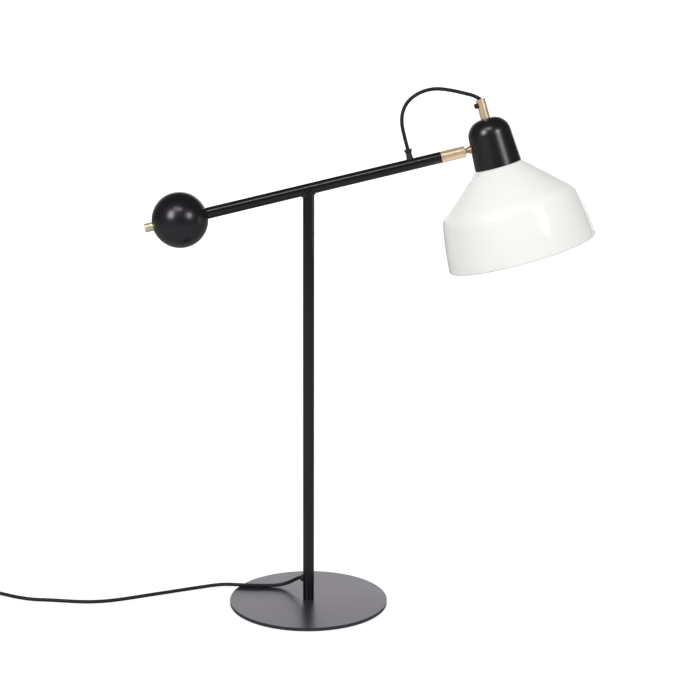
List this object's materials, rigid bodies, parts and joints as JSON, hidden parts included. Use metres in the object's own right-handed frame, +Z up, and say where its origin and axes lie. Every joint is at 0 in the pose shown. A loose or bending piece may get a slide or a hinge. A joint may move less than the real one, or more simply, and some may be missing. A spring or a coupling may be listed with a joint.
{
  "type": "desk lamp",
  "caption": "Desk lamp with a round steel foot, slanting cross arm with a ball counterweight, brass ball joint and white opal glass shade.",
  "frame": {"origin": "middle of the foot's underside, below the upright tube", "axes": "+Z up along the upright, +X towards the lamp's head, the arm in the XZ plane"},
  "size_m": [1.0445, 0.2313, 0.7478],
  "materials": {
    "base_steel": "fine satin dark grey lacquer",
    "tube_steel": "satin black lacquer",
    "ball_iron": "gloss black lacquer",
    "cap_steel": "gloss black lacquer",
    "brass": "polished brass",
    "steel": "zinc-plated steel",
    "spring_steel": "bright spring steel",
    "black_rubber": "matt black rubber",
    "felt": "thin black felt",
    "cord_pvc": "matt black sheath",
    "wire_pvc": "coloured core insulation",
    "nylon": "black nylon",
    "friction_nylon": "natural nylon",
    "holder_plastic": "black moulded plastic",
    "ceramic": "white steatite ceramic",
    "opal_glass": "gloss opal white glass",
    "bulb_glass": "frosted white glass",
    "bulb_brass": "nickelled brass",
    "switch_plastic": "black moulded plastic",
    "plug_plastic": "black moulded plastic",
    "sleeve_plastic": "black insulating sleeve"
  },
  "bodies": {
    "stand": {"base_plate": "base_steel", "base_pad": "felt", "base_screw": "steel", "foot_insert": "steel", "stem_tube": "tube_steel", "arm_tube": "tube_steel", "tee_weld": "tube_steel", "foot_gland": "black_rubber", "arm_gland": "black_rubber", "tail_insert": "steel", "ball_weight": "ball_iron", "ball_rod": "steel", "ball_finial": "brass", "joint_sleeve": "brass", "joint_retainer": "brass", "disc_springs": "spring_steel", "inner_cord": "cord_pvc", "loop_cord": "cord_pvc", "mains_cord": "cord_pvc", "switch_lead": "cord_pvc", "mains_coil": "cord_pvc", "plug_lead": "cord_pvc", "switch_base": "switch_plastic", "switch_cover": "switch_plastic", "switch_terminals": "brass", "switch_wires": "wire_pvc", "switch_screws": "steel", "plug_body": "plug_plastic", "plug_pins": "brass", "pin_sleeves": "sleeve_plastic", "plug_cord_end": "cord_pvc"},
    "swivel": {"friction_cup": "friction_nylon"},
    "head": {"ball_stud": "brass", "joint_collar": "brass", "joint_nut": "steel", "head_cap": "cap_steel", "cord_grip": "brass", "grip_screw": "nylon", "grip_nut": "steel", "holder_cap": "holder_plastic", "holder_skirt": "holder_plastic", "holder_core": "ceramic", "holder_terminals": "brass", "screw_shell": "brass", "centre_contact": "brass", "shade": "opal_glass", "shade_ring": "holder_plastic", "bulb_cap": "bulb_brass", "bulb_glass": "bulb_glass", "head_cord": "cord_pvc", "holder_wires": "wire_pvc"},
    "rocker": {"switch_rocker": "switch_plastic", "switch_bridge": "brass"}
  },
  "joints": [
    {"name": "head_swivel", "type": "hinge", "parent": "stand", "child": "swivel", "pos_m": [0.21331, 0, 0.65783], "axis": [0.9736, 0, 0.2284], "range_deg": [-85, 90], "deforming": ["loop_cord"]},
    {"name": "head_tilt", "type": "hinge", "parent": "swivel", "child": "head", "pos_m": [0.21331, 0, 0.65783], "axis": [0.0139, 0.9981, -0.0594], "range_deg": [-17, 23], "deforming": ["loop_cord"]},
    {"name": "switch_press", "type": "hinge", "parent": "stand", "child": "rocker", "pos_m": [-0.522, 0.069, 0.0142], "axis": [-0.0698, -0.9976, 0], "range_deg": [-16, 0]}
  ]
}
